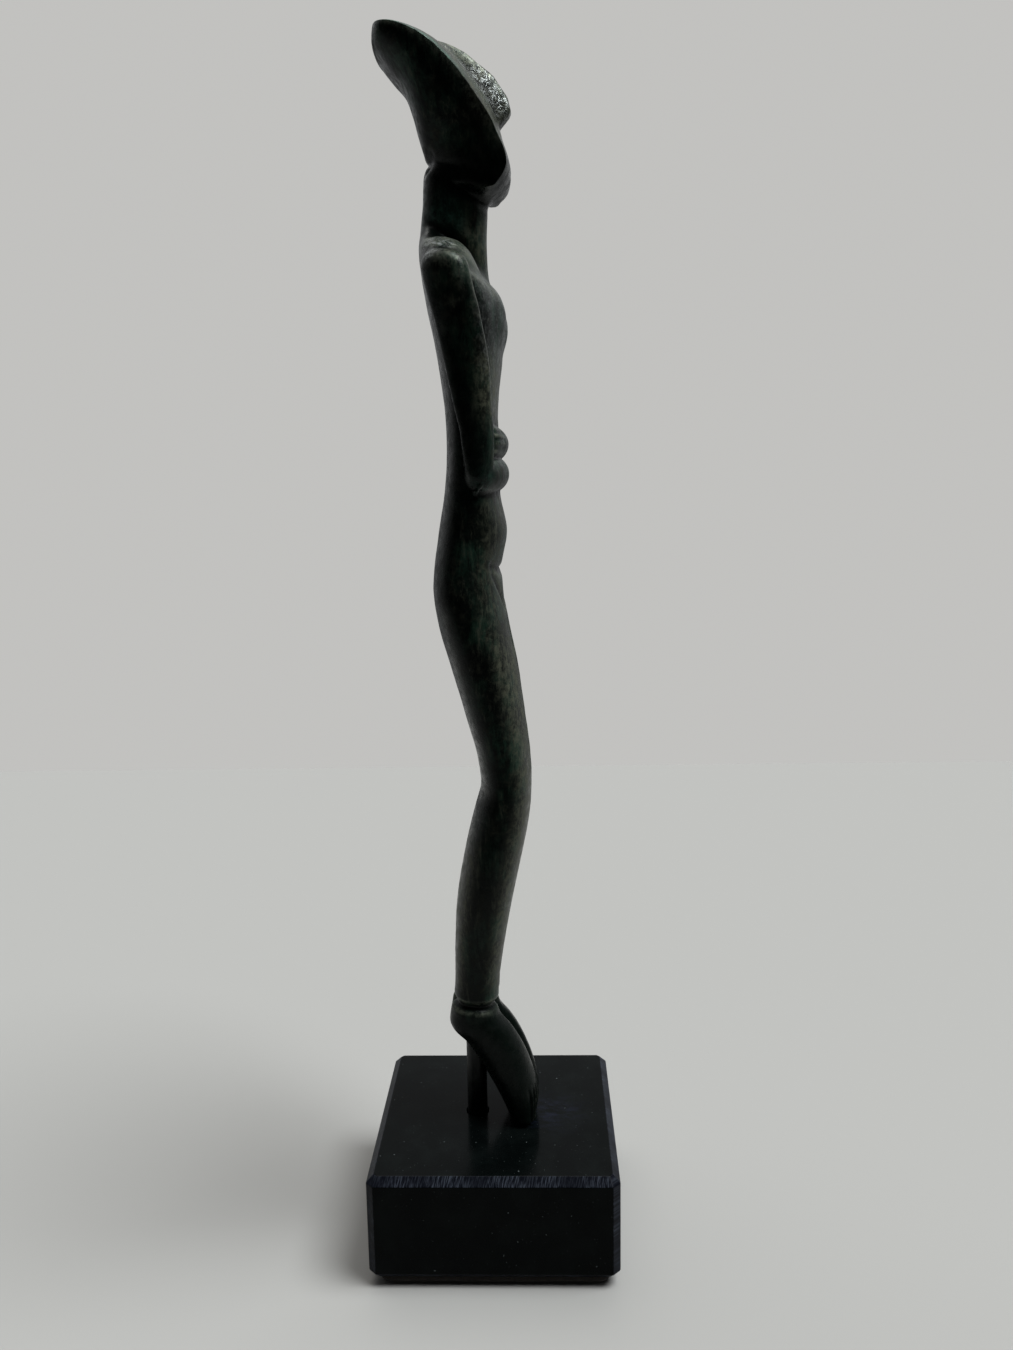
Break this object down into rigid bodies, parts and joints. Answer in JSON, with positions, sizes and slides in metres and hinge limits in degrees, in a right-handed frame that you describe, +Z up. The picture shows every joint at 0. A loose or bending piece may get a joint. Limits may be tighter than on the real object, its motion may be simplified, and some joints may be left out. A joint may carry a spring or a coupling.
{
  "type": "standing figurine on a stone base",
  "caption": "Slender folded-arm idol cast in dark patinated bronze, on tiptoe above a square black stone block, held by a short rod at the heels.",
  "frame": {"origin": "centre of the felt pad's underside, on the surface the piece stands on", "axes": "+Z up, from the base to the crown; the figure faces -Y and its own right side is at -X"},
  "size_m": [0.05, 0.05, 0.2396],
  "materials": {
    "bronze": "cast bronze with a mottled dark green-black patina, rubbed paler on the ridges",
    "rod_metal": "blackened steel rod",
    "black_stone": "polished black stone",
    "felt": "thin dark felt"
  },
  "bodies": {
    "root": {"figurine": "bronze", "support_rod": "rod_metal", "base_block": "black_stone", "felt_pad": "felt"}
  },
  "joints": []
}
